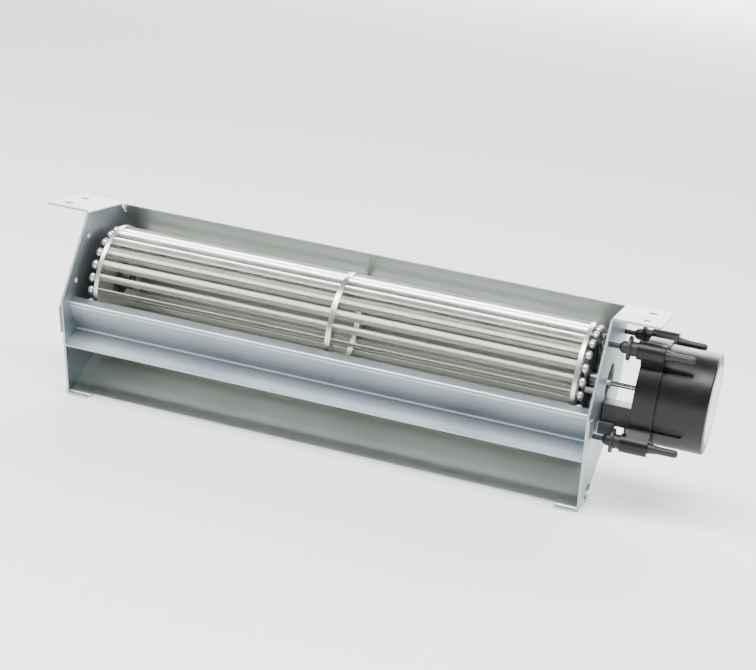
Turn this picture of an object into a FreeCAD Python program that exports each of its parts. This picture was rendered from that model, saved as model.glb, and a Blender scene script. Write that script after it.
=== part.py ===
# Cross flow fan: a two-cell drum impeller between two folded end plates, with a scroll sheet
# behind it, a folded tongue sheet in front of it and a flat motor outside the right end plate.
#
# Millimetres. Pieces are drawn about the impeller's axis: x runs along it from the middle of the
# housing to the motor, y to the back and z up. At the end all of them move together, so that the
# origin is the middle of the four flange holes, on the upper face of the flanges.
import FreeCAD
import Part
import math
import os

Vector = FreeCAD.Vector
X_AXIS = Vector(1, 0, 0)

# Housing
plate_sheet = 1.2
wrap_sheet = 0.8
fold_radius = 0.6
fit_gap = 0.1

# Outline of an end plate, seen along the axis
mount_height = 40.0
flange_front = -27.0
flange_rear = 16.6
flange_reach = 25.8
fold_land = 2.5
chin = (-48.0, -8.5)
foot_front = -28.5
foot_rear = -1.5
foot_clearance = 2.3
foot_tab_length = 12.0
foot_land = 4.5
foot_notch = 2.5
plate_margin = 6.0
rear_step = (21.3, 34.0)

# Holes in the end plates and flanges
flange_hole_radius = 2.25
flange_hole_pitch = 21.0
flange_hole_middle = -6.2
flange_hole_inset = 17.0
corner_radius = 0.8
shaft_opening_radius = 11.0
spare_hole_at = (-33.5, 1.7)
spare_slot_at = (-31.5, -38.4)
spare_slot_size = (1.6, 5.0)
foot_slot_at = (-14.5, -60.4)
foot_slot_size = (9.0, 3.8)

# Impeller
impeller_radius = 30.0
impeller_length = 272.5
left_end_gap = 9.5
right_end_gap = 11.0
disc_sheet = 2.2
blade_count = 23
blade_clocking = 2.7
blade_sheet = 0.5
blade_inset = 0.6
blade_outer_radius = impeller_radius - blade_inset
blade_inner_radius = 23.5
blade_outer_angle = 24.0
ring_thickness = 2.8
ring_offset = 0.8
ring_groove = 0.4
ring_inner_radius = 22.4
slot_gap = 0.06
tail_width = 2.4
head_radius = 2.0
head_length = 5.2
left_head_stand = 2.9
right_head_stand = 2.2

# Scroll sheet
scroll_gap = 3.2
rear_wall_lean = 21.2
floor_slope = 32.3
floor_distance = 39.4
scroll_top = 37.8
floor_front = -25.2
floor_tab_at = -12.6
floor_tab_length = 4.5
tab_stand = 1.3
notch_size = (7.0, 3.4)

# Tongue sheet: the seen face runs through these four corners
lip_edge = (-32.4, -7.8)
lip_crease = (-41.1, -9.9)
trough_root = (-26.7, -26.8)
ledge_edge = (-39.0, -34.2)
trough_fold = 1.2
flap_margin = 1.4
flap_inset = 2.5
flap_foot = 7.0
flap_low = -27.0

# Left bearing
stub_radius = 2.0
running_gap = 0.03
bush_sphere = 5.5
bush_length = 8.0
mount_bore = 9.0
mount_rim = 11.5
mount_length = 7.6
mount_bevel = 1.5
felt_radius = 7.2
felt_thickness = 1.6
washer_radius = 4.4
washer_thickness = 1.0
end_play = 0.2
stub_stand = 1.5
shaft_bevel = 0.3
left_hub_radius = 5.0
hub_flange_radius = 9.0
hub_flange_thickness = 1.6
hub_length = 14.0

# Right hub
shaft_radius = 1.5
damper_bore = 9.0
damper_flange = 10.4
damper_length = 7.0
damper_face = 20.0
damper_face_thickness = 1.5
damper_boss = 6.4
insert_radius = 4.2
insert_length = 12.0
insert_offset = 1.0
screw_stand = 0.2
shaft_stand = 1.0
screw_radius = 1.25
putty_radius = 1.55
putty_length = 4.6
putty_at = (-7.8, -4.4)

# Motor, measured from the outer face of the right end plate
motor_gap = 17.2
ring_depth = 11.7
can_depth = 26.1
ring_radius = 28.5
can_radius = 26.7
can_wall = 2.0
can_bevel = 0.6
can_slot_width = 3.6
can_slot_length = 15.5
can_slot_depth = 0.9
can_slot_angle = 9.5
label_radius = 21.0
label_thickness = 0.2
lug_pitch = 49.0
motor_clocking = -2.6
lug_radius = 4.9
lug_bore = 2.3
lug_setback = 14.7
ring_wall = 2.4
spigot_depth = 4.0
front_wall = 2.0

# Rubber isolators
plate_hole_radius = 1.5
isolator_gap = 0.1
isolator_head = 2.25
isolator_head_height = 2.4
nose_setback = 4.9
nose_radius = 3.2
nose_steps = 5
flange_disc_setback = 9.6
flange_disc_radius = 6.4
flange_disc_thickness = 1.5
collar_radius = 3.8
isolator_bulb = 2.8
tail_radius = 2.05
tail_length = 15.5

# Inside the motor
bearing_outer = 5.0
bearing_width = 4.0
ball_radius = 0.8
ball_count = 7
race_wall = 1.0
ball_gap = 0.05
tube_radius = 6.4
tube_length = 24.0
shaft_clearance = 1.2
board_radius = 23.0
board_thickness = 1.6
post_height = 1.8
post_radius = 1.5
post_count = 3
stator_radius = 17.4
stator_length = 9.0
stator_front = 8.5
tooth_count = 6
tooth_width = 4.6
pole_shoe = 2.2
coil_thickness = 2.0
magnet_gap = 0.8
magnet_thickness = 2.4
cup_wall = 1.2
cup_length = 22.0
cup_front = 7.2
clip_radius = 3.0
clip_thickness = 0.6

# Connector between the right end plate and the motor
block_size = (16.8, 14.0, 11.0)
block_at = (-14.0, -19.0)
cover_size = (8.5, 3.0, 7.0)
cover_drop = 5.0
block_round = 0.7

# Worked-out places along the axis
inner_length = left_end_gap + impeller_length + right_end_gap
half_inner = inner_length / 2
plate_out = half_inner + plate_sheet
disc_left = -half_inner + left_end_gap
disc_right = disc_left + impeller_length - disc_sheet
ring_front = plate_out + motor_gap
ring_back = ring_front + ring_depth
can_back = ring_back + can_depth
lug_front = plate_out + lug_setback
lug_circle = lug_pitch / math.sqrt(2)
bearing_front = ring_front + front_wall
tube_back = bearing_front + tube_length
magnet_inner = stator_radius + magnet_gap
magnet_outer = magnet_inner + magnet_thickness
cup_outer = magnet_outer + cup_wall
cup_back = ring_front + cup_front + cup_length


def on_circle(radius, degrees):
    """Point (y, z) at an angle measured from the back, upwards."""
    angle = math.radians(degrees)
    return (radius * math.cos(angle), radius * math.sin(angle))


def at(x, point):
    return Vector(x, point[0], point[1])


def outline(points, x):
    """Closed straight-sided outline across the axis at x."""
    corners = [at(x, p) for p in points]
    return Part.makePolygon(corners + [corners[0]])


def prism(points, x0, x1):
    return Part.Face(outline(points, x0)).extrude(Vector(x1 - x0, 0, 0))


def edges_prism(edges, x0, x1):
    """Prism along the axis from edges drawn at x = 0."""
    solid = Part.Face(Part.Wire(edges)).extrude(Vector(x1 - x0, 0, 0))
    solid.translate(Vector(x0, 0, 0))
    return solid


def rod(radius, x0, x1, centre=(0, 0)):
    return Part.makeCylinder(radius, x1 - x0, at(x0, centre), X_AXIS)


def tube(outer, inner, x0, x1, centre=(0, 0)):
    return rod(outer, x0, x1, centre).cut(rod(inner, x0 - 1, x1 + 1, centre))


def turned(profile, centre=(0, 0)):
    """Solid of revolution from (x, radius) points, about a line along the axis."""
    points = [Vector(x, 0, r) for x, r in profile]
    solid = Part.Face(Part.makePolygon(points + [points[0]])).revolve(Vector(0, 0, 0), X_AXIS, 360)
    solid.translate(at(0, centre))
    return solid


def box(x, y, z):
    """Box from its (low, high) spans."""
    corner = Vector(x[0], y[0], z[0])
    return Part.makeBox(x[1] - x[0], y[1] - y[0], z[1] - z[0], corner)


def union(solids):
    whole = solids[0]
    for solid in solids[1:]:
        whole = whole.fuse(solid)
    return whole.removeSplitter()


def left_normal(p, q):
    dy, dz = q[0] - p[0], q[1] - p[1]
    size = math.hypot(dy, dz)
    return (-dz / size, dy / size)


def offset_path(corners, distance):
    """The same path, moved sideways to its left by a distance, with its corners mitred."""
    normals = [left_normal(p, q) for p, q in zip(corners, corners[1:])]
    normals = [normals[0]] + normals + [normals[-1]]
    moved = []
    for corner, before, after in zip(corners, normals, normals[1:]):
        scale = distance / (1 + before[0] * after[0] + before[1] * after[1])
        moved.append((corner[0] + (before[0] + after[0]) * scale,
                      corner[1] + (before[1] + after[1]) * scale))
    return moved


def rounded_path(corners, radii):
    """Edges of a path at x = 0 whose inner corners are rounded to the given radii."""
    edges = []
    start = Vector(0, *corners[0])
    for before, corner, after, radius in zip(corners, corners[1:], corners[2:], radii):
        vertex = Vector(0, *corner)
        back = (Vector(0, *before) - vertex).normalize()
        ahead = (Vector(0, *after) - vertex).normalize()
        half_turn = (math.pi - back.getAngle(ahead)) / 2
        reach = radius * math.tan(half_turn)
        middle = (back + ahead).normalize()
        arc_middle = vertex + middle * (radius / math.cos(half_turn) - radius)
        arc_start = vertex + back * reach
        arc_end = vertex + ahead * reach
        edges.append(Part.LineSegment(start, arc_start).toShape())
        edges.append(Part.Arc(arc_start, arc_middle, arc_end).toShape())
        start = arc_end
    edges.append(Part.LineSegment(start, Vector(0, *corners[-1])).toShape())
    return edges


def bent_sheet(corners, seen_radii, thickness, x0, x1):
    """Folded sheet whose seen face runs through the corners, its thickness on their left."""
    hidden = offset_path(corners, thickness)
    hidden_radii = []
    for p, q, r, radius in zip(corners, corners[1:], corners[2:], seen_radii):
        turn = (q[0] - p[0]) * (r[1] - q[1]) - (q[1] - p[1]) * (r[0] - q[0])
        hidden_radii.append(radius - thickness if turn > 0 else radius + thickness)
    front = rounded_path(corners, seen_radii)
    back = rounded_path(hidden[::-1], hidden_radii[::-1])
    first = Part.LineSegment(Vector(0, *hidden[0]), Vector(0, *corners[0])).toShape()
    last = Part.LineSegment(Vector(0, *corners[-1]), Vector(0, *hidden[-1])).toShape()
    return edges_prism(front + [last] + back + [first], x0, x1)


# Scroll shape: a lip line and a floor line, both tangent to one arc round the back. The arc's
# centre lies opposite the closest point, so that the gap to the impeller only grows from there.
def scroll_arc():
    closest = impeller_radius + scroll_gap
    across = math.cos(math.radians(rear_wall_lean + 90 - floor_slope))
    shift = (floor_distance - closest) / (1 - across)
    centre = on_circle(-shift, rear_wall_lean)
    return centre, closest + shift


def line_point(distance, normal_angle, z):
    """Point at height z on the line at a distance from the axis along its normal."""
    ny, nz = on_circle(1.0, normal_angle)
    return ((distance - nz * z) / ny, z)


def scroll_corners(outside=0.0):
    """Top edge, corner under the arc and front edge of the scroll's inner face, or outside it."""
    closest = impeller_radius + scroll_gap + outside
    floor = floor_distance + outside
    floor_normal = floor_slope - 90
    top = line_point(closest, rear_wall_lean, scroll_top)
    a, b = on_circle(1.0, rear_wall_lean)
    c, d = on_circle(1.0, floor_normal)
    size = a * d - b * c
    corner = ((closest * d - b * floor) / size, (a * floor - closest * c) / size)
    front = (floor_front, (floor - c * floor_front) / d)
    return [top, corner, front]


scroll_centre, scroll_radius = scroll_arc()
foot_depth = foot_clearance - scroll_corners()[2][1]


def lug_points():
    return [on_circle(lug_circle, 45 + 90 * k + motor_clocking) for k in range(4)]


def notch_at(point, x_end):
    """Cutter that clears a sheet's end round an isolator's head."""
    width, depth = notch_size
    half = width / 2
    return box((x_end - depth, x_end + 1), (point[0] - half, point[0] + half),
               (point[1] - half, point[1] + half))


def tongue_corners():
    return [lip_edge, lip_crease, trough_root, ledge_edge]


def along(p, q, distance):
    size = math.hypot(q[0] - p[0], q[1] - p[1])
    return (p[0] + (q[0] - p[0]) * distance / size, p[1] + (q[1] - p[1]) * distance / size)


def flap_line():
    """The stretch of the trough's upper face that passes through the plates."""
    start = along(lip_crease, trough_root, flap_inset)
    end = along(trough_root, lip_crease, flap_foot)
    return start, end


def strip_across(p, q, thickness, gap, x0, x1):
    """Flat strip from p to q with its thickness on the left, grown by a gap all round."""
    p, q = along(p, q, -gap), along(q, p, -gap)
    seen = offset_path([p, q], -gap)
    hidden = offset_path([p, q], thickness + gap)
    return prism(seen + hidden[::-1], x0, x1)


def floor_tab_ends():
    """Ends of the scroll floor's tab, on its inner face."""
    corner, front = scroll_corners()[1:]
    slope = (front[1] - corner[1]) / (front[0] - corner[0])
    middle = (floor_tab_at, corner[1] + slope * (floor_tab_at - corner[0]))
    half = floor_tab_length / 2
    return along(middle, corner, half), along(middle, front, half)


def front_edge_at(z):
    """The plate's slanted front edge below its chin, at height z."""
    share = (z - chin[1]) / (foot_land - foot_depth - chin[1])
    return chin[0] + (foot_front - chin[0]) * share


def plate_outline():
    """Edges of the end plate at x = 0: brow, chin, foot, scroll side and rear step."""
    outer = scroll_radius + plate_margin
    top, corner, front = scroll_corners(plate_margin)
    floor_tangent = at(0, scroll_centre) + at(0, on_circle(outer, floor_slope - 90))
    step_rise = rear_step[1] - scroll_centre[1]
    step_end = (scroll_centre[0] + math.sqrt(outer ** 2 - step_rise ** 2), rear_step[1])
    slope = (front[1] - corner[1]) / (front[0] - corner[0])
    foot_top = foot_land - foot_depth
    meet = (foot_rear - foot_land, corner[1] + slope * (foot_rear - foot_land - corner[0]))
    mid_angle = (math.degrees(math.asin(step_rise / outer)) + floor_slope - 90) / 2
    arc_middle = at(0, scroll_centre) + at(0, on_circle(outer, mid_angle))
    points = [(flange_front, mount_height), (flange_front, mount_height - fold_land), chin,
              (foot_front, foot_top), (foot_front, -foot_depth), (foot_rear, -foot_depth),
              (foot_rear, foot_top), (meet[0] - foot_notch, foot_top),
              (meet[0] - foot_notch, meet[1] - foot_notch / 2), meet]
    edges = [Part.LineSegment(at(0, p), at(0, q)).toShape() for p, q in zip(points, points[1:])]
    edges.append(Part.LineSegment(at(0, meet), floor_tangent).toShape())
    edges.append(Part.Arc(floor_tangent, arc_middle, at(0, step_end)).toShape())
    rest = [step_end, rear_step, (flange_rear, mount_height - fold_land),
            (flange_rear, mount_height), (flange_front, mount_height)]
    edges += [Part.LineSegment(at(0, p), at(0, q)).toShape() for p, q in zip(rest, rest[1:])]
    return edges


def plate_section():
    """Section of an end plate in x and z: flange turned out at the top, foot tab turned in."""
    top, low = mount_height, -foot_depth
    outer_fold = fold_radius + plate_sheet
    centre_in = Vector(outer_fold, 0, top - outer_fold)
    centre_out = Vector(plate_sheet - outer_fold, 0, low + outer_fold)

    def fold(centre, radius, degrees):
        mid = math.radians(degrees)
        return centre + Vector(radius * math.cos(mid), 0, radius * math.sin(mid))

    def arc(centre, radius, first, last):
        ends = [fold(centre, radius, first), fold(centre, radius, (first + last) / 2),
                fold(centre, radius, last)]
        return Part.Arc(*ends).toShape(), ends[0], ends[2]

    pieces = []
    cursor = Vector(flange_reach, 0, top)
    stops = [(centre_in, outer_fold, 90, 180), (centre_out, fold_radius, 0, -90), None, None,
             (centre_out, outer_fold, -90, 0), (centre_in, fold_radius, 180, 90)]
    ends = [Vector(-foot_tab_length, 0, low + plate_sheet), Vector(-foot_tab_length, 0, low)]
    for stop in stops:
        if stop is None:
            point = ends.pop(0)
            pieces.append(Part.LineSegment(cursor, point).toShape())
            cursor = point
            continue
        edge, first, last = arc(*stop)
        pieces.append(Part.LineSegment(cursor, first).toShape())
        pieces.append(edge)
        cursor = last
    end = Vector(flange_reach, 0, top - plate_sheet)
    pieces.append(Part.LineSegment(cursor, end).toShape())
    pieces.append(Part.LineSegment(end, Vector(flange_reach, 0, top)).toShape())
    return Part.Face(Part.Wire(pieces))


def web_slot(middle, size):
    """Cutter of an upright slot through a plate's web."""
    (y, z), (wide, tall) = middle, size
    return box((-1, plate_sheet + 1), (y - wide / 2, y + wide / 2), (z - tall / 2, z + tall / 2))


def end_plate():
    """Folded end plate with x measured outwards from its inner face."""
    depth = 2 * scroll_radius
    folded = plate_section().extrude(Vector(0, 2 * depth, 0))
    folded.translate(Vector(0, -depth, 0))
    plate = folded.common(edges_prism(plate_outline(), -foot_tab_length - 1, flange_reach + 1))
    for side in (-1, 1):
        hole = Part.makeCylinder(flange_hole_radius, 4 * plate_sheet, Vector(
            flange_hole_inset, flange_hole_middle + side * flange_hole_pitch / 2,
            mount_height - 2 * plate_sheet))
        plate = plate.cut(hole)
    for point in lug_points() + [spare_hole_at]:
        plate = plate.cut(rod(plate_hole_radius, -1, plate_sheet + 1, point))
    plate = plate.cut(web_slot(foot_slot_at, foot_slot_size))
    plate = plate.cut(strip_across(*flap_line(), wrap_sheet, fit_gap, -1, plate_sheet + 1))
    plate = plate.cut(strip_across(*floor_tab_ends(), wrap_sheet, fit_gap, -1, plate_sheet + 1))
    corners = [edge for edge in plate.Edges
               if edge.Length < plate_sheet * 1.01
               and edge.BoundBox.XMin > flange_reach - 0.01]
    return plate.makeFillet(corner_radius, corners)


def to_left(solid):
    """Mirror of a right-hand piece, x measured outwards from a plate's inner face."""
    turned_over = solid.mirror(Vector(0, 0, 0), X_AXIS)
    turned_over.translate(Vector(-half_inner, 0, 0))
    return turned_over


def to_right(solid):
    moved = solid.copy()
    moved.translate(Vector(half_inner, 0, 0))
    return moved


def left_end_plate():
    return to_left(end_plate().cut(rod(mount_bore, -1, plate_sheet + 1)))


def right_end_plate():
    plate = end_plate().cut(rod(shaft_opening_radius, -1, plate_sheet + 1))
    return to_right(plate.cut(web_slot(spare_slot_at, spare_slot_size)))


def volute_sheet():
    """Scroll with a tab in its floor; its upper ends lie on the steps of the end plates."""
    reach = half_inner - fit_gap
    sheet = bent_sheet(scroll_corners(), [scroll_radius], wrap_sheet, -reach, reach)
    out = plate_out + tab_stand
    top = scroll_corners()[0]
    on_step = line_point(impeller_radius + scroll_gap, rear_wall_lean, rear_step[1] + fit_gap)
    ear = offset_path([top, on_step], wrap_sheet)
    whole = union([sheet, strip_across(*floor_tab_ends(), wrap_sheet, 0, -out, out),
                   prism([top, on_step] + ear[::-1], -plate_out, plate_out)])
    return whole.cut(notch_at(lug_points()[0], reach))


def tongue_sheet():
    """Trough with lip and ledge; its ends pass through the plates and fold flat outside them."""
    reach = half_inner - fit_gap
    bends = [trough_fold + wrap_sheet, trough_fold]
    sheet = bent_sheet(tongue_corners(), bends, wrap_sheet, -reach, reach)
    start, end = flap_line()
    high = chin[1] + (start[1] - lip_crease[1])
    hidden = offset_path([start, end], wrap_sheet)
    flap = [hidden[0], (front_edge_at(high) - flap_margin, high),
            (front_edge_at(flap_low) - flap_margin, flap_low), hidden[1]]
    out = plate_out + wrap_sheet
    neck = strip_across(start, end, wrap_sheet, 0, -out, out)
    return union([sheet, neck, prism(flap, plate_out, out), prism(flap, -out, -plate_out)])


def blade_section():
    """Camber radius and sweep in radians of a blade that stands radially at its inner edge."""
    camber = ((blade_outer_radius ** 2 - blade_inner_radius ** 2)
              / (2 * blade_outer_radius * math.cos(math.radians(blade_outer_angle))))
    lean = math.atan2(camber, blade_inner_radius)
    reach = math.hypot(camber, blade_inner_radius)
    rise = (blade_outer_radius ** 2 - reach ** 2 - camber ** 2) / (2 * camber * reach)
    return camber, lean + math.asin(rise)


def blade_strip(first, last, gap, x0, x1):
    """Curved strip between two sweep angles of the blade's section, grown by a gap."""
    camber = blade_section()[0]
    centre = Vector(0, blade_inner_radius, -camber)
    outer = camber + blade_sheet / 2 + gap
    inner = camber - blade_sheet / 2 - gap
    first, last = first - gap / camber, last + gap / camber

    def spot(radius, angle):
        return centre + Vector(0, radius * math.sin(angle), radius * math.cos(angle))

    middle = (first + last) / 2
    edges = [Part.Arc(spot(outer, first), spot(outer, middle), spot(outer, last)).toShape(),
             Part.LineSegment(spot(outer, last), spot(inner, last)).toShape(),
             Part.Arc(spot(inner, last), spot(inner, middle), spot(inner, first)).toShape(),
             Part.LineSegment(spot(inner, first), spot(outer, first)).toShape()]
    return edges_prism(edges, x0, x1)


def tail_strip(gap, x0, x1):
    """Narrow tail in the middle of a blade's section, which passes through an end disc."""
    camber, sweep = blade_section()
    half = tail_width / 2 / camber
    return blade_strip(sweep / 2 - half, sweep / 2 + half, gap, x0, x1)


def tail_head(x, disc_face):
    """Upset head of a tail on its neck: a capsule that lies along the rim, its middle at x."""
    camber, sweep = blade_section()
    y = blade_inner_radius + camber * math.sin(sweep / 2)
    z = camber * math.cos(sweep / 2) - camber
    centre = Vector(x, y, z)
    outwards = Vector(0, y, z).normalize()
    along_rim = X_AXIS.cross(outwards)
    half = head_length / 2 - head_radius
    low, high = centre - along_rim * half, centre + along_rim * half
    return union([tail_strip(0, min(x, disc_face), max(x, disc_face)),
                  Part.makeCylinder(head_radius, 2 * half, low, along_rim),
                  Part.makeSphere(head_radius, low), Part.makeSphere(head_radius, high)])


def blade():
    """Blade with its tails; the heads outside the discs are solids of their own.

    So each solid is thin, and the way between two blades stays as wide as it is.
    """
    left_face, right_face = disc_left, disc_right + disc_sheet
    inside_left = disc_left + disc_sheet
    strip = union([blade_strip(0, blade_section()[1], 0, inside_left, disc_right),
                   tail_strip(0, left_face, inside_left), tail_strip(0, disc_right, right_face)])
    return Part.makeCompound([strip, tail_head(left_face - left_head_stand, left_face),
                              tail_head(right_face + right_head_stand, right_face)])


def turned_to(solid, k):
    """Copy of a solid at blade position k."""
    placed = solid.copy()
    placed.rotate(Vector(0, 0, 0), X_AXIS, blade_clocking + 360 * k / blade_count)
    return placed


def slotted(disc, slot):
    return disc.cut(Part.makeCompound([turned_to(slot, k) for k in range(blade_count)]))


def end_disc(x, hole_radius):
    slot = tail_strip(slot_gap, x - 1, x + disc_sheet + 1)
    return slotted(tube(impeller_radius, hole_radius, x, x + disc_sheet), slot)


def centre_ring():
    """Ring that all blades pass through, with a fine groove round its rim."""
    middle = (disc_left + disc_right + disc_sheet) / 2 + ring_offset
    left, right = middle - ring_thickness / 2, middle + ring_thickness / 2
    groove = ring_groove / 2
    ring = tube(impeller_radius, ring_inner_radius, left, right)
    ring = ring.cut(tube(impeller_radius + 1, impeller_radius - ring_groove,
                         middle - groove, middle + groove))
    return slotted(ring, blade_strip(0, blade_section()[1], slot_gap, left - 1, right + 1))


# Left bearing: a sintered ball bush in a rubber mount that is buttoned into the plate's bore
bush_middle = -half_inner - plate_sheet / 2
bush_end = bush_middle + bush_length / 2
washer_front = bush_end + end_play
hub_front = washer_front + washer_thickness
mount_half = mount_length / 2


def ball_radius_at(distance):
    """Radius of the bush's ball where it is cut at a distance from its middle."""
    return math.sqrt(bush_sphere ** 2 - distance ** 2)


def ball_turned(profile):
    """Solid of revolution from (x, radius) points, closed by the arc of the bush's ball."""
    points = [Vector(x, 0, r) for x, r in profile]
    sides = [Part.LineSegment(p, q).toShape() for p, q in zip(points, points[1:])]
    crown = Vector(bush_middle, 0, bush_sphere)
    sides.append(Part.Arc(points[-1], crown, points[0]).toShape())
    return Part.Face(Part.Wire(sides)).revolve(Vector(0, 0, 0), X_AXIS, 360)


def bearing_bush():
    half = bush_length / 2
    bore = stub_radius + running_gap
    left, right = bush_middle - half, bush_middle + half
    rim = ball_radius_at(half)
    return ball_turned([(right, rim), (right, bore), (left, bore), (left, rim)])


def bearing_mount():
    left, right = bush_middle - mount_half, bush_middle + mount_half
    felt_floor = left + felt_thickness
    outer_face = -half_inner - plate_sheet
    return ball_turned([
        (felt_floor, ball_radius_at(mount_half - felt_thickness)), (felt_floor, felt_radius),
        (left, felt_radius), (left, mount_rim - mount_bevel), (left + mount_bevel, mount_rim),
        (outer_face, mount_rim), (outer_face, mount_bore), (-half_inner, mount_bore),
        (-half_inner, mount_rim), (right - mount_bevel, mount_rim),
        (right, mount_rim - mount_bevel), (right, ball_radius_at(mount_half))])


def oil_felt():
    left = bush_middle - mount_half
    inside = ball_radius_at(mount_half - felt_thickness) + fit_gap
    return tube(felt_radius, inside, left, left + felt_thickness)


def thrust_washer():
    return tube(washer_radius, stub_radius, washer_front, hub_front)


def left_hub():
    flange = disc_left + disc_sheet
    back = hub_front + hub_length
    profile = [(hub_front, stub_radius), (hub_front, left_hub_radius),
               (flange, left_hub_radius), (flange, hub_flange_radius),
               (flange + hub_flange_thickness, hub_flange_radius),
               (flange + hub_flange_thickness, left_hub_radius),
               (back, left_hub_radius), (back, stub_radius)]
    return turned(profile)


def bevelled_rod(radius, bevel, x0, x1):
    profile = [(x0, 0), (x0, radius - bevel), (x0 + bevel, radius), (x1 - bevel, radius),
               (x1, radius - bevel), (x1, 0)]
    return turned(profile)


def stub_shaft():
    return bevelled_rod(stub_radius, shaft_bevel, bush_middle - bush_length / 2 - stub_stand,
                        hub_front + hub_length)


# Right hub: a metal sleeve in a rubber damper that is buttoned into the right end disc;
# the damper's thin outer face is wide and carries the balancing putty
damper_middle = disc_right + disc_sheet / 2
insert_front = damper_middle - insert_length / 2 + insert_offset


def hub_damper():
    left, right = damper_middle - damper_length / 2, damper_middle + damper_length / 2
    bevel = damper_flange - damper_bore - fold_radius
    face = disc_right + disc_sheet + damper_face_thickness
    profile = [(left, insert_radius), (left, damper_flange - bevel),
               (left + bevel, damper_flange), (disc_right, damper_flange),
               (disc_right, damper_bore), (disc_right + disc_sheet, damper_bore),
               (disc_right + disc_sheet, damper_face), (face, damper_face),
               (face, damper_boss), (right, damper_boss), (right, insert_radius)]
    return turned(profile)


def set_screw_at():
    """Middle of the bare end of the metal sleeve."""
    return (damper_middle + damper_length / 2 + insert_front + insert_length) / 2


def set_screw():
    return Part.makeCylinder(screw_radius, insert_radius + screw_stand - shaft_radius,
                             Vector(set_screw_at(), 0, shaft_radius))


def hub_insert():
    sleeve = tube(insert_radius, shaft_radius, insert_front, insert_front + insert_length)
    return sleeve.cut(Part.makeCylinder(screw_radius, 2 * insert_radius,
                                        Vector(set_screw_at(), 0, 0)))


def balancing_putty():
    face = disc_right + disc_sheet + damper_face_thickness
    lump = rod(putty_radius, face, face + putty_length, putty_at)
    rim = [edge for edge in lump.Edges if abs(edge.BoundBox.XMin - face - putty_length) < 0.01]
    return lump.makeFillet(putty_radius / 2, rim)


# Motor
shaft_front = insert_front - shaft_stand
shaft_back = cup_back + clip_thickness + shaft_stand
inner_race_outer = bearing_outer - race_wall - 2 * (ball_radius + ball_gap)
ball_circle = (bearing_outer - race_wall + inner_race_outer) / 2
ring_inner = ring_radius - ring_wall
rear_seat = tube_back - bearing_width


def motor_shaft():
    return bevelled_rod(shaft_radius, shaft_bevel, shaft_front, shaft_back)


def spoke(x, radial, width, degrees):
    """Radial box: its x span, radial span and width, turned about the axis."""
    bar = box(x, radial, (-width / 2, width / 2))
    bar.rotate(Vector(0, 0, 0), X_AXIS, degrees)
    return bar


def motor_frame():
    """Front ring with its wall, bearing tube, board posts and four lugs, moulded in one."""
    pieces = [tube(ring_radius, ring_inner, ring_front, ring_back),
              rod(ring_radius, ring_front, bearing_front),
              rod(tube_radius, ring_front, tube_back)]
    for k, point in enumerate(lug_points()):
        pieces.append(rod(lug_radius, lug_front, ring_back, point))
        pieces.append(spoke((ring_front, ring_back), (ring_radius - ring_wall / 2, lug_circle),
                            2 * lug_radius, 45 + 90 * k + motor_clocking))
    for k in range(post_count):
        pieces.append(rod(post_radius, ring_front, bearing_front + post_height,
                          on_circle(board_radius - 2 * post_radius, 360 * k / post_count)))
    frame = union(pieces)
    cutters = [rod(lug_bore, lug_front - 1, ring_back + 1, point) for point in lug_points()]
    cutters += [rod(shaft_radius + shaft_clearance, ring_front - 1, tube_back + 1),
                rod(bearing_outer, bearing_front, bearing_front + bearing_width),
                rod(bearing_outer - race_wall, bearing_front, tube_back),
                rod(bearing_outer, rear_seat, tube_back + 1)]
    for cutter in cutters:
        frame = frame.cut(cutter)
    return frame


def can_slot(degrees):
    """Cutter of one round-ended recess in the can's side."""
    end = ring_back + can_slot_length - can_slot_width / 2
    low = can_radius - can_slot_depth
    pin = Part.makeCylinder(can_slot_width / 2, 2 * can_slot_depth, Vector(end, low, 0),
                            Vector(0, 1, 0))
    bar = box((ring_back - 1, end), (low, low + 2 * can_slot_depth),
              (-can_slot_width / 2, can_slot_width / 2))
    slot = bar.fuse(pin)
    slot.rotate(Vector(0, 0, 0), X_AXIS, degrees)
    return slot


def motor_can():
    inside = can_radius - can_wall
    profile = [(ring_back - spigot_depth, inside), (ring_back - spigot_depth, ring_inner),
               (ring_back, ring_inner), (ring_back, can_radius),
               (can_back - can_bevel, can_radius), (can_back, can_radius - can_bevel),
               (can_back, 0), (can_back - can_wall, 0), (can_back - can_wall, inside)]
    can = turned(profile)
    for k, side in enumerate((-1, 1, -1, 1)):
        can = can.cut(can_slot(45 + 90 * k + motor_clocking + side * can_slot_angle))
    return can


def motor_label():
    return rod(label_radius, can_back, can_back + label_thickness)


def rubber_isolators():
    """Four pull-through isolators: head, neck, nose, flange, collar, shank and long tail."""
    inner = plate_out - plate_sheet
    nose = plate_out + nose_setback
    disc = plate_out + flange_disc_setback
    disc_back = disc + flange_disc_thickness
    neck = plate_hole_radius - isolator_gap
    shank = lug_bore - isolator_gap
    tail_end = ring_back + tail_length
    first = math.asin(neck / nose_radius)
    turns = [first + (math.pi / 2 - first) * k / nose_steps for k in range(nose_steps + 1)]
    profile = [(inner - isolator_head_height, 0), (inner - isolator_head_height, neck / 2),
               (inner, isolator_head), (inner, neck)]
    profile += [(nose + nose_radius * (1 - math.cos(a)), nose_radius * math.sin(a))
                for a in turns]
    profile += [(disc, nose_radius), (disc, flange_disc_radius),
               (disc_back, flange_disc_radius), (disc_back, collar_radius),
               (lug_front, collar_radius),
               (lug_front, shank), (ring_back, shank), (ring_back, isolator_bulb),
               (ring_back + 2 * isolator_bulb, tail_radius),
               (tail_end - tail_radius / 2, tail_radius), (tail_end, tail_radius / 2),
               (tail_end, 0)]
    return Part.makeCompound([turned(profile, point) for point in lug_points()])


def bearing_outer_ring(x):
    return tube(bearing_outer, bearing_outer - race_wall, x, x + bearing_width)


def bearing_inner_ring(x):
    return tube(inner_race_outer, shaft_radius, x, x + bearing_width)


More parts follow.
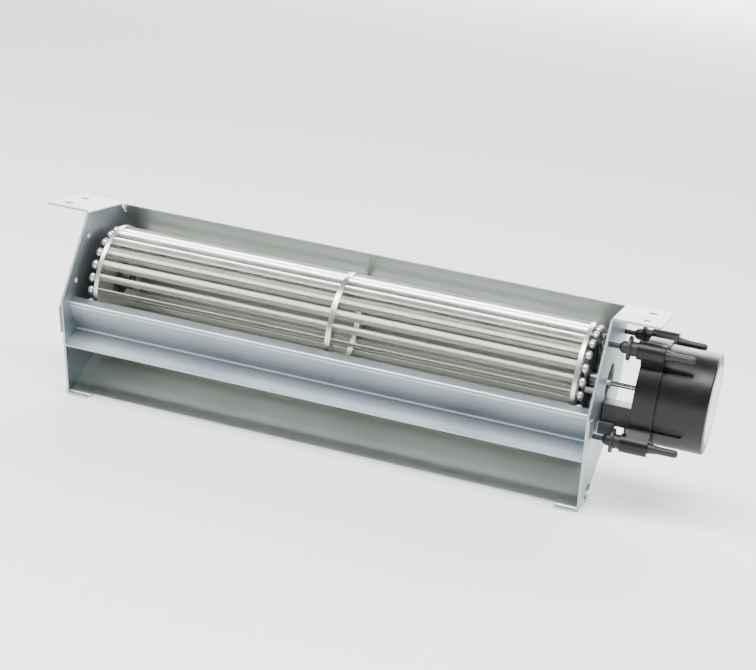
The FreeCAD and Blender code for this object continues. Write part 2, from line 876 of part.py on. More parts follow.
def bearing_balls(x):
    middle = x + bearing_width / 2
    return Part.makeCompound([
        Part.makeSphere(ball_radius, at(middle, on_circle(ball_circle, 360 * k / ball_count)))
        for k in range(ball_count)])


def circuit_board():
    front = bearing_front + post_height
    return tube(board_radius, tube_radius, front, front + board_thickness)


def stator_span():
    front = ring_front + stator_front
    return front, front + stator_length


def tooth_angles():
    return [360 * k / tooth_count for k in range(tooth_count)]


def stator_core():
    """Stacked core: hub, teeth and pole shoes parted by the winding slots."""
    span = stator_span()
    shoe = stator_radius - pole_shoe
    pieces = [tube(tube_radius + pole_shoe, tube_radius, *span),
              tube(stator_radius, shoe, *span)]
    pieces += [spoke(span, (tube_radius + pole_shoe / 2, shoe + pole_shoe / 2), tooth_width,
                     angle) for angle in tooth_angles()]
    core = union(pieces)
    for angle in tooth_angles():
        gap = spoke((span[0] - 1, span[1] + 1), (shoe - 1, stator_radius + 1), pole_shoe,
                    angle + 180 / tooth_count)
        core = core.cut(gap)
    return core


def stator_coils():
    """A block of winding round each tooth, its corners just inside the pole shoes."""
    front, back = stator_span()
    width = tooth_width + 2 * coil_thickness
    shoe = stator_radius - pole_shoe - fit_gap
    radial = (tube_radius + pole_shoe + fit_gap, math.sqrt(shoe ** 2 - (width / 2) ** 2))
    coils = []
    for angle in tooth_angles():
        outer = spoke((front - coil_thickness, back + coil_thickness), radial, width, angle)
        inner = spoke((front, back), (0, stator_radius), tooth_width, angle)
        coils.append(outer.cut(inner))
    return Part.makeCompound(coils)


def rotor_cup():
    front = ring_front + cup_front
    inside = cup_back - cup_wall
    profile = [(front, magnet_outer), (front, cup_outer), (cup_back - cup_wall, cup_outer),
               (cup_back, cup_outer - cup_wall), (cup_back, shaft_radius),
               (tube_back, shaft_radius), (tube_back, inner_race_outer),
               (inside, inner_race_outer), (inside, magnet_outer)]
    return turned(profile)


def ring_magnet():
    front, back = stator_span()
    return tube(magnet_outer, magnet_inner, front, back + coil_thickness)


def shaft_clip():
    return tube(clip_radius, shaft_radius, cup_back, cup_back + clip_thickness)


def rounded_box(x, y, z, radius):
    solid = box(x, y, z)
    return solid.makeFillet(radius, solid.Edges)


def connector_block():
    length, depth, height = block_size
    y, z = block_at
    return rounded_box((ring_front - length, ring_front), (y, y + depth), (z, z + height),
                       block_round)


def connector_cover():
    length, depth, height = cover_size
    y, z = block_at
    start = ring_front - block_size[0]
    return rounded_box((start, start + length), (y - depth, y),
                       (z - cover_drop, z - cover_drop + height), block_round)


def save(name, solid):
    """Move a piece to the mounting frame and write it."""
    placed = solid.copy()
    placed.translate(Vector(0, -flange_hole_middle, -mount_height))
    placed.exportStep(os.path.join("parts", name + ".step"))


os.makedirs("parts", exist_ok=True)

save("left_end_plate", left_end_plate())
save("right_end_plate", right_end_plate())
save("volute_sheet", volute_sheet())
save("tongue_sheet", tongue_sheet())

one_blade = blade()
for k in range(blade_count):
    save("blade_%02d" % (k + 1), turned_to(one_blade, k))
save("left_end_disc", end_disc(disc_left, left_hub_radius))
save("centre_ring", centre_ring())
save("right_end_disc", end_disc(disc_right, damper_bore))

save("bearing_bush", bearing_bush())
save("bearing_mount", bearing_mount())
save("oil_felt", oil_felt())
save("thrust_washer", thrust_washer())
save("left_hub", left_hub())
save("stub_shaft", stub_shaft())

save("hub_damper", hub_damper())
save("hub_insert", hub_insert())
save("set_screw", set_screw())
save("balancing_putty", balancing_putty())

save("motor_shaft", motor_shaft())
save("motor_frame", motor_frame())
save("motor_can", motor_can())
save("motor_label", motor_label())
save("rubber_isolators", rubber_isolators())
save("front_bearing_outer", bearing_outer_ring(bearing_front))
save("front_bearing_balls", bearing_balls(bearing_front))
save("front_bearing_inner", bearing_inner_ring(bearing_front))
save("rear_bearing_outer", bearing_outer_ring(rear_seat))
save("rear_bearing_balls", bearing_balls(rear_seat))
save("rear_bearing_inner", bearing_inner_ring(rear_seat))
save("circuit_board", circuit_board())
save("stator_core", stator_core())
save("stator_coils", stator_coils())
save("rotor_cup", rotor_cup())
save("ring_magnet", ring_magnet())
save("shaft_clip", shaft_clip())
save("connector_block", connector_block())
save("connector_cover", connector_cover())
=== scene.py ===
import math
import bpy
import numpy as np
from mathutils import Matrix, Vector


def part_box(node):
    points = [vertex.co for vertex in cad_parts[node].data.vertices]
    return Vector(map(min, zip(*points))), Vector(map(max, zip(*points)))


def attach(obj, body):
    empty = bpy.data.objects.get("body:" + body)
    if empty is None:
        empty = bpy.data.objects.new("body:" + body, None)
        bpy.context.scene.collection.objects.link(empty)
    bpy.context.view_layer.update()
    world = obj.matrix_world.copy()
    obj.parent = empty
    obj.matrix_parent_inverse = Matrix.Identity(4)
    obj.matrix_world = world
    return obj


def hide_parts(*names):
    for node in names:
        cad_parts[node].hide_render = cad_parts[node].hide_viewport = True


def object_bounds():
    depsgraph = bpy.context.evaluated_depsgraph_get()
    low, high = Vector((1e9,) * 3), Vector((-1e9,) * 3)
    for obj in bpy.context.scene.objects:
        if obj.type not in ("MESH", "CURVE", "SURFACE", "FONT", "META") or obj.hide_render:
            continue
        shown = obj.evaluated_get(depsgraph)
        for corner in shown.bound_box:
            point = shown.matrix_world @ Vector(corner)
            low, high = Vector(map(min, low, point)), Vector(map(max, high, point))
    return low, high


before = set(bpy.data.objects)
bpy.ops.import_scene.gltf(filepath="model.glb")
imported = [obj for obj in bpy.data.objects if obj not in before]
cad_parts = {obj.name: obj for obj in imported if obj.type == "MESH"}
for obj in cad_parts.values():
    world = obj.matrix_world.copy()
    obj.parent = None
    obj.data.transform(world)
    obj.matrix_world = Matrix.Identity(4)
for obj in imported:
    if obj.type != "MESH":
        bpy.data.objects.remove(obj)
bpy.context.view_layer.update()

# All lengths are metres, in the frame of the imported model: x along the drum towards the motor,
# y to the back, z up, with the flanges' upper faces at z = 0.


# End plates
# Two blanks of 1.2 mm hot-dip galvanised steel, punched and then folded: a flange turned out at
# the top for the screws and a short foot turned in at the bottom.

ZINC_CLOUD = 0.045
ZINC_GRAIN = 0.0007
SHEET_EDGE = 0.00035

# Sockets of a colour mix: how much of the second colour, the two colours, and the result.
SHARE, DARK, LIGHT, MIXED = 0, 6, 7, 2


def linear(colour):
    """Hex sRGB colour as linear RGBA: each channel through the standard sRGB curve."""
    channels = [int(colour[k:k + 2], 16) / 255 for k in (1, 3, 5)]
    return [c / 12.92 if c <= 0.04045 else ((c + 0.055) / 1.055) ** 2.4 for c in channels] + [1.0]


def add_node(tree, kind, values=None, links=None, **settings):
    """One node: settings are its properties, values its sockets' values, links what feeds them."""
    made = tree.nodes.new("ShaderNode" + kind)
    for name, value in settings.items():
        setattr(made, name, value)
    for socket, value in (values or {}).items():
        made.inputs[socket].default_value = value
    for socket, output in (links or {}).items():
        tree.links.new(output, made.inputs[socket])
    return made


def new_finish(name, **sockets):
    """A material of that name, its tree and its shader, with the shader's own sockets set."""
    finish = bpy.data.materials.new(name)
    finish.use_nodes = True
    shader = finish.node_tree.nodes["Principled BSDF"]
    for socket, value in sockets.items():
        shader.inputs[socket.replace("_", " ")].default_value = value
    return finish, finish.node_tree, shader


def wear(finish, *pieces):
    """Give CAD nodes their finish."""
    for piece in pieces:
        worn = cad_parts[piece].data.materials
        worn.clear()
        worn.append(finish)


def galvanised_steel(name, dark, light):
    """Zinc on cold-rolled sheet: soft shine, faint clouding, and a painted highlight along edges
    and folds.

    The grain is drawn coarser than the real one, so that it shows.
    """
    finish, tree, shader = new_finish(name, Metallic=1.0)
    place = add_node(tree, "TexCoord").outputs["Object"]
    cloud = add_node(tree, "TexNoise", {"Scale": 1 / ZINC_CLOUD, "Detail": 5.0,
                                        "Roughness": 0.55}, {"Vector": place})
    grain = add_node(tree, "TexNoise", {"Scale": 1 / ZINC_GRAIN, "Detail": 2.0},
                     {"Vector": place})
    tint = add_node(tree, "Mix", {DARK: linear(dark), LIGHT: linear(light)},
                    {SHARE: cloud.outputs["Fac"]}, data_type="RGBA")
    soft = add_node(tree, "Bevel", {"Radius": SHEET_EDGE}, samples=4)
    flat = add_node(tree, "NewGeometry").outputs["True Normal"]
    turn = add_node(tree, "VectorMath", links={0: soft.outputs["Normal"], 1: flat},
                    operation="DOT_PRODUCT")
    # Painted highlight: a near-white colour is mixed in wherever the rounded-edge normal turns away
    # from the flat one, so cut edges and folds read as lit.
    edge_highlight_share = add_node(tree, "MapRange", {"From Min": 0.995, "From Max": 0.80, "To Max": 0.6},
                    {"Value": turn.outputs["Value"]})
    painted_edge_highlight = add_node(tree, "Mix", {LIGHT: linear("#dfe4e6")},
                      {SHARE: edge_highlight_share.outputs["Result"], DARK: tint.outputs[MIXED]},
                      data_type="RGBA")
    tree.links.new(painted_edge_highlight.outputs[MIXED], shader.inputs["Base Color"])
    matt = add_node(tree, "MapRange", {"From Min": 0.35, "From Max": 0.65, "To Min": 0.40,
                                       "To Max": 0.50}, {"Value": cloud.outputs["Fac"]})
    tree.links.new(matt.outputs["Result"], shader.inputs["Roughness"])
    bump = add_node(tree, "Bump", {"Strength": 0.12, "Distance": 0.00003},
                    {"Height": grain.outputs["Fac"], "Normal": soft.outputs["Normal"]})
    tree.links.new(bump.outputs["Normal"], shader.inputs["Normal"])
    return finish


zinc_sheet = galvanised_steel("galvanised_steel", "#9fa9af", "#adb6bb")
wear(zinc_sheet, "left_end_plate", "right_end_plate")


# Scroll sheet and tongue
# One sheet rolled round the back of the drum and one folded trough in front of it, both 0.8 mm
# galvanised steel. Their ends pass through the plates, and the trough's are folded flat outside.

wear(zinc_sheet, "tongue_sheet")
# The scroll sheet wears a darker, less blue copy of the plates' zinc: painted shade for the inside
# of the housing.
wear(galvanised_steel("galvanised_steel_painted_shade", "#9ca5a2", "#abb4b0"), "volute_sheet")


# Left bearing
# A sintered bronze ball bush, soaked in oil and kept wet by a felt ring, in a rubber mount that
# is buttoned into the left plate.

BRONZE_PORE = 0.0004
RUBBER_BLOOM = 0.006
RUBBER_GRAIN = 0.0004
FELT_FIBRE = 0.0006
MOULDED_EDGE = 0.0003


def sintered_bronze():
    """Pressed and sintered bronze: dull warm metal with open pores, dark with oil.

    The pores are drawn coarser than the real ones.
    """
    finish, tree, shader = new_finish("sintered_bronze", Metallic=1.0, Roughness=0.45)
    place = add_node(tree, "TexCoord").outputs["Object"]
    pores = add_node(tree, "TexNoise", {"Scale": 1 / BRONZE_PORE, "Detail": 3.0},
                     {"Vector": place})
    tint = add_node(tree, "Mix", {DARK: linear("#5e4a30"), LIGHT: linear("#a0814f")},
                    {SHARE: pores.outputs["Fac"]}, data_type="RGBA")
    tree.links.new(tint.outputs[MIXED], shader.inputs["Base Color"])
    bump = add_node(tree, "Bump", {"Strength": 0.4, "Distance": 0.00005},
                    {"Height": pores.outputs["Fac"]})
    tree.links.new(bump.outputs["Normal"], shader.inputs["Normal"])
    return finish


def moulded_rubber():
    """Black rubber from a mould: matt, near black, with a faint bloom and a fine grain."""
    finish, tree, shader = new_finish("moulded_rubber", IOR=1.52, Roughness=0.5)
    place = add_node(tree, "TexCoord").outputs["Object"]
    bloom = add_node(tree, "TexNoise", {"Scale": 1 / RUBBER_BLOOM, "Detail": 4.0},
                     {"Vector": place})
    grain = add_node(tree, "TexNoise", {"Scale": 1 / RUBBER_GRAIN, "Detail": 1.0},
                     {"Vector": place})
    soft = add_node(tree, "Bevel", {"Radius": MOULDED_EDGE}, samples=4)
    tint = add_node(tree, "Mix", {DARK: linear("#0e0e10"), LIGHT: linear("#19191b")},
                    {SHARE: bloom.outputs["Fac"]}, data_type="RGBA")
    tree.links.new(tint.outputs[MIXED], shader.inputs["Base Color"])
    bump = add_node(tree, "Bump", {"Strength": 0.15, "Distance": 0.00004},
                    {"Height": grain.outputs["Fac"], "Normal": soft.outputs["Normal"]})
    tree.links.new(bump.outputs["Normal"], shader.inputs["Normal"])
    return finish


def oiled_felt():
    """Wool felt soaked in oil: matt brownish grey with loose fibres."""
    finish, tree, shader = new_finish("oiled_felt", Roughness=0.9, Sheen_Weight=0.3)
    place = add_node(tree, "TexCoord").outputs["Object"]
    fibres = add_node(tree, "TexNoise", {"Scale": 1 / FELT_FIBRE, "Detail": 6.0,
                                         "Distortion": 2.0}, {"Vector": place})
    tint = add_node(tree, "Mix", {DARK: linear("#5c543f"), LIGHT: linear("#8b8064")},
                    {SHARE: fibres.outputs["Fac"]}, data_type="RGBA")
    tree.links.new(tint.outputs[MIXED], shader.inputs["Base Color"])
    bump = add_node(tree, "Bump", {"Strength": 0.6, "Distance": 0.0002},
                    {"Height": fibres.outputs["Fac"]})
    tree.links.new(bump.outputs["Normal"], shader.inputs["Normal"])
    return finish


rubber = moulded_rubber()
wear(sintered_bronze(), "bearing_bush")
wear(rubber, "bearing_mount")
wear(oiled_felt(), "oil_felt")


# Drum: discs, ring and blades
# Discs and ring are punched from thick aluminium. The blades are curved strips of 0.5 mm bright
# rolled aluminium; their narrow tails pass through slots in the discs and are headed over there.

AXIS_Y = 0.0062
AXIS_Z = -0.0400
BLADE_COUNT = 23
BLADE_OUTER = 0.0294
BLADE_INNER = 0.0235
BLADE_OUTER_ANGLE = math.radians(24)
BLADE_SHEET = 0.0005
BLADE_CLOCKING = math.radians(2.7)
TAIL_WIDTH = 0.0024
SHOULDER = 1e-5
HEAD_RADIUS = 0.0020
HEAD_LENGTH = 0.0052

# How finely a blade is drawn: points round each row, rows of a head, the angle in degrees at
# which a head closes, the powers that square the strip's outline, and what counts as an edge.
POINTS_AROUND = 36
HEAD_ROWS = 14
HEAD_CAP = 8
WIDTH_POWER = 0.9
SHEET_POWER = 0.25
SHARP_EDGE = math.radians(40)

ROLLING_LENGTH = 0.12
ROLLING_PITCH = 0.0009
STRIP_BLOTCH = 0.015


def bright_aluminium():
    """Mill-finish aluminium strip: very light, satin along the rolling lines.

    The lines run along x and are drawn coarser than the real ones, so that they show.
    """
    finish, tree, shader = new_finish("bright_rolled_aluminium", Metallic=1.0)
    place = add_node(tree, "TexCoord").outputs["Object"]
    drawn = add_node(tree, "Mapping", {"Scale": (1 / ROLLING_LENGTH, 1 / ROLLING_PITCH,
                                                 1 / ROLLING_PITCH)}, {"Vector": place})
    lines = add_node(tree, "TexNoise", {"Scale": 1.0, "Detail": 3.0},
                     {"Vector": drawn.outputs["Vector"]})
    blotch = add_node(tree, "TexNoise", {"Scale": 1 / STRIP_BLOTCH, "Detail": 3.0},
                      {"Vector": place})
    tint = add_node(tree, "Mix", {DARK: linear("#cbcac4"), LIGHT: linear("#e9e8e2")},
                    {SHARE: lines.outputs["Fac"]}, data_type="RGBA")
    tree.links.new(tint.outputs[MIXED], shader.inputs["Base Color"])
    matt = add_node(tree, "MapRange", {"From Min": 0.3, "From Max": 0.7, "To Min": 0.28,
                                       "To Max": 0.38}, {"Value": blotch.outputs["Fac"]})
    tree.links.new(matt.outputs["Result"], shader.inputs["Roughness"])
    bump = add_node(tree, "Bump", {"Strength": 0.06, "Distance": 0.00004},
                    {"Height": lines.outputs["Fac"]})
    tree.links.new(bump.outputs["Normal"], shader.inputs["Normal"])
    return finish


def loft(name, rows, body, finish, slot, *stands_for):
    """Closed skin over rows of points: neighbours in a row and in the next row share a face.

    rows is (stations, points around, 3). Each row is a closed loop; the first and last rows are
    closed to a point at their own middle, so that the whole is one closed skin.
    """
    count, around = rows.shape[:2]
    index = np.arange(count * around).reshape(count, around)
    after = np.roll(index, -1, axis=1)
    quads = np.stack([index[:-1], after[:-1], after[1:], index[1:]], axis=-1).reshape(-1, 4)
    first, last = count * around, count * around + 1
    points = np.vstack([rows.reshape(-1, 3), rows[[0, -1]].mean(axis=1)])
    faces = quads.tolist()
    faces += np.stack([after[0], index[0], np.full(around, first)], -1).tolist()
    faces += np.stack([index[-1], after[-1], np.full(around, last)], -1).tolist()
    mesh = bpy.data.meshes.new(name)
    mesh.from_pydata(points.tolist(), [], faces)
    mesh.shade_smooth()
    mesh.set_sharp_from_angle(angle=SHARP_EDGE)
    mesh.materials.append(finish)
    piece = bpy.data.objects.new(name, mesh)
    bpy.context.scene.collection.objects.link(piece)
    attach(piece, body)
    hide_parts(*stands_for)


def blade_rows(turn):
    """Points of one blade, lofted along x.

    The strip is bent round the camber circle, whose radius makes it stand radially at its inner
    edge; its outline is a superellipse, nearly a rectangle. The heads are capsules that lie along
    the rim: their outline is an ellipse, as wide as a circle's chord at each station and longer
    along the rim by a fixed amount. The whole is then turned about the drum's axis.
    """
    camber = (BLADE_OUTER ** 2 - BLADE_INNER ** 2) / (2 * BLADE_OUTER * math.cos(BLADE_OUTER_ANGLE))
    reach = math.hypot(camber, BLADE_INNER)
    rise = (BLADE_OUTER ** 2 - reach ** 2 - camber ** 2) / (2 * camber * reach)
    sweep = math.atan2(camber, BLADE_INNER) + math.asin(rise)

    left_disc, right_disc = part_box("left_end_disc"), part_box("right_end_disc")
    wide, tail, thin = camber * sweep / 2, TAIL_WIDTH / 2, BLADE_SHEET / 2
    plan = [(left_disc[0].x, tail), (left_disc[1].x, tail), (left_disc[1].x + SHOULDER, wide),
            (0.0, wide), (right_disc[0].x - SHOULDER, wide), (right_disc[0].x, tail),
            (right_disc[1].x, tail)]
    x, half_width = np.array(plan).T[:, :, None]
    around = np.linspace(0, 2 * math.pi, POINTS_AROUND, endpoint=False)[None, :]
    width_wave, sheet_wave = np.cos(around), np.sin(around)
    width_share = np.sign(width_wave) * np.abs(width_wave) ** WIDTH_POWER
    sheet_share = np.sign(sheet_wave) * np.abs(sheet_wave) ** SHEET_POWER
    angle = sweep / 2 + width_share * half_width / camber
    radius = camber + sheet_share * thin
    y, z = BLADE_INNER + radius * np.sin(angle), -camber + radius * np.cos(angle)
    strip = np.stack([np.broadcast_to(x, y.shape), y, z], axis=-1)

    middle = np.array([0.0, BLADE_INNER + camber * math.sin(sweep / 2),
                       -camber + camber * math.cos(sweep / 2)])
    outwards = middle / np.linalg.norm(middle)
    along_rim = np.cross((1, 0, 0), outwards)
    swell = np.radians(np.linspace(HEAD_CAP, 180 - HEAD_CAP, HEAD_ROWS))[:, None]
    chord = HEAD_RADIUS * np.sin(swell)
    across = np.cos(around) * chord
    length = np.sin(around) * (chord + HEAD_LENGTH / 2 - HEAD_RADIUS)
    head = middle + across[..., None] * outwards + length[..., None] * along_rim
    tip_left, tip_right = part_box("blade_01")[0].x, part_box("blade_01")[1].x
    left, right = head.copy(), head.copy()
    left[..., 0] = tip_left + HEAD_RADIUS * (1 - np.cos(swell))
    right[..., 0] = tip_right - HEAD_RADIUS * (1 + np.cos(swell))

    rows = np.concatenate([left, strip, right])
    cosine, sine = math.cos(turn), math.sin(turn)
    return np.stack([rows[..., 0], AXIS_Y + rows[..., 1] * cosine - rows[..., 2] * sine,
                     AXIS_Z + rows[..., 1] * sine + rows[..., 2] * cosine], axis=-1)


aluminium = bright_aluminium()
wear(aluminium, "left_end_disc", "centre_ring", "right_end_disc")
for k in range(BLADE_COUNT):
    number = "%02d" % (k + 1)
    loft("drum_blade_" + number, blade_rows(BLADE_CLOCKING + 2 * math.pi * k / BLADE_COUNT),
         "impeller", aluminium, "bright_aluminium", "blade_" + number)


# Left hub and stub shaft
# A moulded nylon hub pressed on a ground 4 mm pin, with an acetal washer against the bush.

NYLON_CLOUD = 0.008
TURNED_PITCH = 0.0004
TURNED_LENGTH = 0.02


def moulded_nylon(name, dark, light):
    """Nylon or acetal from a mould: half matt, slightly cloudy."""
    finish, tree, shader = new_finish(name, IOR=1.53, Roughness=0.42)
    place = add_node(tree, "TexCoord").outputs["Object"]
    cloud = add_node(tree, "TexNoise", {"Scale": 1 / NYLON_CLOUD, "Detail": 4.0},
                     {"Vector": place})
    tint = add_node(tree, "Mix", {DARK: linear(dark), LIGHT: linear(light)},
                    {SHARE: cloud.outputs["Fac"]}, data_type="RGBA")
    tree.links.new(tint.outputs[MIXED], shader.inputs["Base Color"])
    soft = add_node(tree, "Bevel", {"Radius": MOULDED_EDGE}, samples=4)
    tree.links.new(soft.outputs["Normal"], shader.inputs["Normal"])
    return finish


def ground_steel(name, dark, light, roughness):
    """Round steel, turned or ground: fine rings round the x axis in its shine.

    The rings are drawn coarser than the real ones.
    """
    finish, tree, shader = new_finish(name, Metallic=1.0, Roughness=roughness)
    place = add_node(tree, "TexCoord").outputs["Object"]
    rings = add_node(tree, "Mapping", {"Scale": (1 / TURNED_PITCH, 1 / TURNED_LENGTH,
                                                 1 / TURNED_LENGTH)}, {"Vector": place})
    marks = add_node(tree, "TexNoise", {"Scale": 1.0, "Detail": 3.0},
                     {"Vector": rings.outputs["Vector"]})
    tint = add_node(tree, "Mix", {DARK: linear(dark), LIGHT: linear(light)},
                    {SHARE: marks.outputs["Fac"]}, data_type="RGBA")
    tree.links.new(tint.outputs[MIXED], shader.inputs["Base Color"])
    bump = add_node(tree, "Bump", {"Strength": 0.1, "Distance": 0.00003},
                    {"Height": marks.outputs["Fac"]})
    tree.links.new(bump.outputs["Normal"], shader.inputs["Normal"])
    return finish


steel = ground_steel("ground_steel", "#9c9da0", "#c6c7c9", 0.22)
wear(moulded_nylon("black_nylon", "#1d1d1f", "#2a2a2d"), "left_hub")
wear(moulded_nylon("natural_acetal", "#ddd9cc", "#ece9df"), "thrust_washer")
wear(steel, "stub_shaft")


# Right hub
# A turned and zinc plated steel sleeve, fixed to the motor's shaft by a black grub screw and
# vulcanised into a rubber damper that is buttoned into the right disc. A lump of hardened putty
# on the damper's broad outer face balances the drum.

PUTTY_LUMP = 0.0012


def hardened_putty():
    """Two-part putty: cream, matt and slightly lumpy."""
    finish, tree, shader = new_finish("hardened_putty", Roughness=0.62)
    place = add_node(tree, "TexCoord").outputs["Object"]
    lumps = add_node(tree, "TexNoise", {"Scale": 1 / PUTTY_LUMP, "Detail": 3.0},
                     {"Vector": place})
    tint = add_node(tree, "Mix", {DARK: linear("#efe6cc"), LIGHT: linear("#fbf6e6")},
                    {SHARE: lumps.outputs["Fac"]}, data_type="RGBA")
    tree.links.new(tint.outputs[MIXED], shader.inputs["Base Color"])
    bump = add_node(tree, "Bump", {"Strength": 0.4, "Distance": 0.0002},
                    {"Height": lumps.outputs["Fac"]})
    tree.links.new(bump.outputs["Normal"], shader.inputs["Normal"])
    return finish


wear(rubber, "hub_damper")
wear(ground_steel("zinc_plated_sleeve", "#8f9396", "#b7babc", 0.3), "hub_insert")
wear(ground_steel("black_oxide_screw", "#18181a", "#2b2b2e", 0.4), "set_screw")
wear(hardened_putty(), "balancing_putty")


# Motor
# Front ring with four lugs and a round can behind it, both glass-filled black plastic with a
# smooth half-gloss skin; a bare pale film is stuck on the can's end.

PLASTIC_FLOW = 0.012
PLASTIC_SKIN = 0.0006
CAN_EDGE = 0.0004
FILM_HAZE = 0.01


def filled_plastic():
    """Glass-filled black plastic: half gloss, charcoal, with a fine moulded skin."""
    finish, tree, shader = new_finish("glass_filled_plastic", IOR=1.38)
    place = add_node(tree, "TexCoord").outputs["Object"]
    flow = add_node(tree, "TexNoise", {"Scale": 1 / PLASTIC_FLOW, "Detail": 5.0},
                    {"Vector": place})
    skin = add_node(tree, "TexNoise", {"Scale": 1 / PLASTIC_SKIN, "Detail": 2.0},
                    {"Vector": place})
    tint = add_node(tree, "Mix", {DARK: linear("#08080a"), LIGHT: linear("#101012")},
                    {SHARE: flow.outputs["Fac"]}, data_type="RGBA")
    tree.links.new(tint.outputs[MIXED], shader.inputs["Base Color"])
    matt = add_node(tree, "MapRange", {"From Min": 0.35, "From Max": 0.65, "To Min": 0.32,
                                       "To Max": 0.40}, {"Value": flow.outputs["Fac"]})
    tree.links.new(matt.outputs["Result"], shader.inputs["Roughness"])
    soft = add_node(tree, "Bevel", {"Radius": CAN_EDGE}, samples=4)
    bump = add_node(tree, "Bump", {"Strength": 0.1, "Distance": 0.00003},
                    {"Height": skin.outputs["Fac"], "Normal": soft.outputs["Normal"]})
    tree.links.new(bump.outputs["Normal"], shader.inputs["Normal"])
    return finish


def pale_film():
    """Bare polyester film: smooth pale grey with a slight gloss."""
    finish, tree, shader = new_finish("pale_film", Roughness=0.3)
    place = add_node(tree, "TexCoord").outputs["Object"]
    haze = add_node(tree, "TexNoise", {"Scale": 1 / FILM_HAZE, "Detail": 3.0},
                    {"Vector": place})
    tint = add_node(tree, "Mix", {DARK: linear("#d3d6da"), LIGHT: linear("#e6e8ea")},
                    {SHARE: haze.outputs["Fac"]}, data_type="RGBA")
    tree.links.new(tint.outputs[MIXED], shader.inputs["Base Color"])
    return finish


wear(filled_plastic(), "motor_frame", "motor_can")
wear(pale_film(), "motor_label")
wear(steel, "motor_shaft")


# Inside the motor
# Two ball bearings in the frame's tube, a stamped core with six wound teeth, a round circuit
# board, and a drawn steel cup with a ferrite ring that turns round the core.

FERRITE_GRIT = 0.0005
CORE_SHEET = 0.0005
COPPER_WIRE = 0.0004
TRACK_FIELD = 0.004


def pressed_ferrite():
    """Pressed ferrite: dark grey, dull and grainy."""
    finish, tree, shader = new_finish("pressed_ferrite", Roughness=0.55)
    place = add_node(tree, "TexCoord").outputs["Object"]
    grit = add_node(tree, "TexNoise", {"Scale": 1 / FERRITE_GRIT, "Detail": 2.0},
                    {"Vector": place})
    tint = add_node(tree, "Mix", {DARK: linear("#2a2a2c"), LIGHT: linear("#434346")},
                    {SHARE: grit.outputs["Fac"]}, data_type="RGBA")
    tree.links.new(tint.outputs[MIXED], shader.inputs["Base Color"])
    return finish


def stamped_core():
    """Stack of 0.5 mm electrical steel: dark lines across the axis.

    The lines are drawn about 1 mm apart, two sheets to each, so that they show.
    """
    finish, tree, shader = new_finish("stamped_core", Metallic=1.0, Roughness=0.45)
    place = add_node(tree, "TexCoord").outputs["Object"]
    sheets = add_node(tree, "TexWave", {"Scale": 1 / (CORE_SHEET * 2 * math.pi)},
                      {"Vector": place}, bands_direction="X")
    tint = add_node(tree, "Mix", {DARK: linear("#4c4d50"), LIGHT: linear("#8d8f92")},
                    {SHARE: sheets.outputs["Fac"]}, data_type="RGBA")
    tree.links.new(tint.outputs[MIXED], shader.inputs["Base Color"])
    return finish


def copper_winding():
    """Enamelled copper wire of 0.4 mm: reddish lacquer over bright metal, wound side by side.

    The turns are drawn about twice as wide as the wire, so that they show.
    """
    finish, tree, shader = new_finish("copper_winding", Metallic=1.0, Roughness=0.28,
                                      Coat_Weight=0.5)
    place = add_node(tree, "TexCoord").outputs["Object"]
    turns = add_node(tree, "TexWave", {"Scale": 1 / (COPPER_WIRE * 2 * math.pi)},
                     {"Vector": place}, bands_direction="DIAGONAL")
    tint = add_node(tree, "Mix", {DARK: linear("#6e3316"), LIGHT: linear("#c8743a")},
                    {SHARE: turns.outputs["Fac"]}, data_type="RGBA")
    tree.links.new(tint.outputs[MIXED], shader.inputs["Base Color"])
    return finish


def solder_mask():
    """Green lacquer over copper: darker and lighter fields about 4 mm across."""
    finish, tree, shader = new_finish("solder_mask", Roughness=0.3, Coat_Weight=0.4)
    place = add_node(tree, "TexCoord").outputs["Object"]
    tracks = add_node(tree, "TexVoronoi", {"Scale": 1 / TRACK_FIELD}, {"Vector": place},
                      distance="MANHATTAN")
    line = add_node(tree, "MapRange", {"From Min": 0.30, "From Max": 0.34},
                    {"Value": tracks.outputs["Distance"]})
    tint = add_node(tree, "Mix", {DARK: linear("#1d5a33"), LIGHT: linear("#2f7a4a")},
                    {SHARE: line.outputs["Result"]}, data_type="RGBA")
    tree.links.new(tint.outputs[MIXED], shader.inputs["Base Color"])
    return finish


wear(ground_steel("bearing_steel", "#a9abae", "#d3d5d7", 0.15),
     "front_bearing_outer", "front_bearing_balls", "front_bearing_inner",
     "rear_bearing_outer", "rear_bearing_balls", "rear_bearing_inner")
wear(ground_steel("zinc_plated_cup", "#84888c", "#aeb2b5", 0.35), "rotor_cup")
wear(pressed_ferrite(), "ring_magnet")
wear(stamped_core(), "stator_core")
wear(copper_winding(), "stator_coils")
wear(solder_mask(), "circuit_board")
wear(steel, "shaft_clip")


# Rubber isolators
# Four pull-through rubber pins that carry the motor: a head inside the plate on a thin neck, a
# round nose, a flange disc and a collar before the lug, a bulb behind it and a long tail.

wear(rubber, "rubber_isolators")


# Connector
# A moulded black plug body on the front of the motor's ring, with a small dark grey cover.

wear(moulded_nylon("black_plug_plastic", "#121214", "#1d1d20"), "connector_block")
wear(moulded_nylon("grey_plug_plastic", "#2b2b30", "#3a3a40"), "connector_cover")


# Studio
# A pale floor under the feet, a long soft light overhead, a large one far behind, a weak panel at
# the left and a pale room all round.

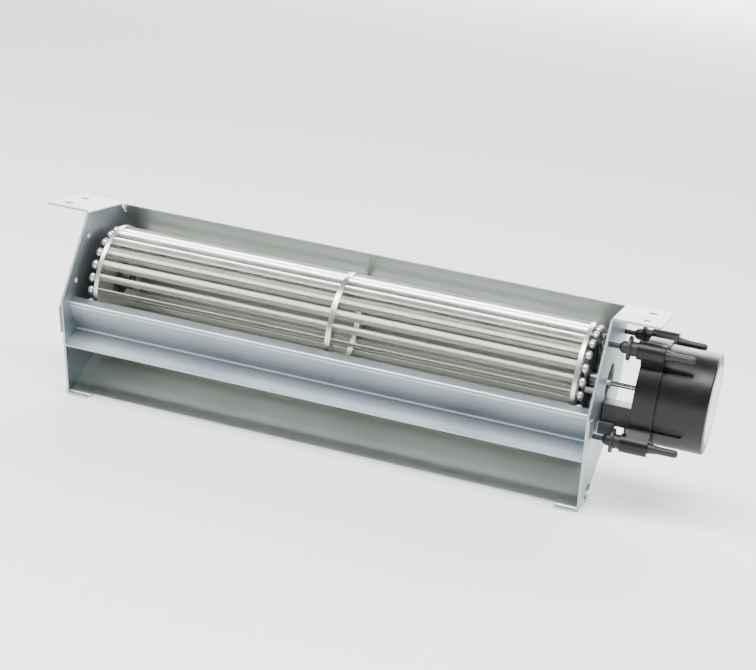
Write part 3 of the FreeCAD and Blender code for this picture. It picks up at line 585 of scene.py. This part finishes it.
FLOOR_HALF = 30.0
floor_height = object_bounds()[0].z
floor_mesh = bpy.data.meshes.new("studio_floor")
floor_mesh.from_pydata([(-FLOOR_HALF, -FLOOR_HALF, floor_height),
                        (FLOOR_HALF, -FLOOR_HALF, floor_height),
                        (FLOOR_HALF, FLOOR_HALF, floor_height),
                        (-FLOOR_HALF, FLOOR_HALF, floor_height)], [], [(0, 1, 2, 3)])
floor = bpy.data.objects.new("studio_floor", floor_mesh)
bpy.context.scene.collection.objects.link(floor)
paper = new_finish("white_paper", Roughness=0.9, Base_Color=linear("#f4f4f4"),
                   Emission_Color=linear("#ffffff"), Emission_Strength=0.24)[0]
floor_mesh.materials.append(paper)

room = bpy.data.worlds.new("pale_room")
bpy.context.scene.world = room
room.use_nodes = True
sky = room.node_tree.nodes["Background"]
sky.inputs["Color"].default_value = linear("#f2f4f6")
sky.inputs["Strength"].default_value = 0.30


def soft_light(name, place, target, size, power):
    """A rectangular light, so long and so wide, that points from its place at a target."""
    lamp = bpy.data.lights.new(name, "AREA")
    lamp.shape = "RECTANGLE"
    lamp.size, lamp.size_y = size
    lamp.energy = power
    holder = bpy.data.objects.new(name, lamp)
    bpy.context.scene.collection.objects.link(holder)
    holder.location = place
    aim = Vector(target) - Vector(place)
    holder.rotation_euler = aim.to_track_quat("-Z", "Y").to_euler()


soft_light("top_softbox", place=(0.0, -0.7, 1.6), target=(0, 0, -0.05), size=(2.6, 0.7),
           power=104)
soft_light("back_softbox", place=(0.3, 10.0, 4.3), target=(0.3, 1.5, -0.1), size=(13.0, 5.8),
           power=3100)
soft_light("left_panel", place=(-2.0, -1.5, 0.6), target=(0, 0, -0.05), size=(1.6, 1.2),
           power=18)


# Camera
# Placed where the photograph was taken from: a metre from the fan, to the right of its middle and
# above it.

FOCAL_PIXELS = 1853.5
PHOTO_WIDTH = 756
camera = bpy.data.cameras.new("camera")
camera.sensor_fit = "HORIZONTAL"
camera.sensor_width = 36
camera.lens = FOCAL_PIXELS * camera.sensor_width / PHOTO_WIDTH
camera.shift_x = 0.00566
camera.shift_y = 0.02736
camera.clip_end = 100
viewer = bpy.data.objects.new("camera", camera)
bpy.context.scene.collection.objects.link(viewer)
viewer.rotation_mode = "QUATERNION"
viewer.location = (0.279988, -0.939676, 0.189937)
viewer.rotation_quaternion = (0.770337, 0.61521, 0.037439, 0.163388)
bpy.context.scene.camera = viewer
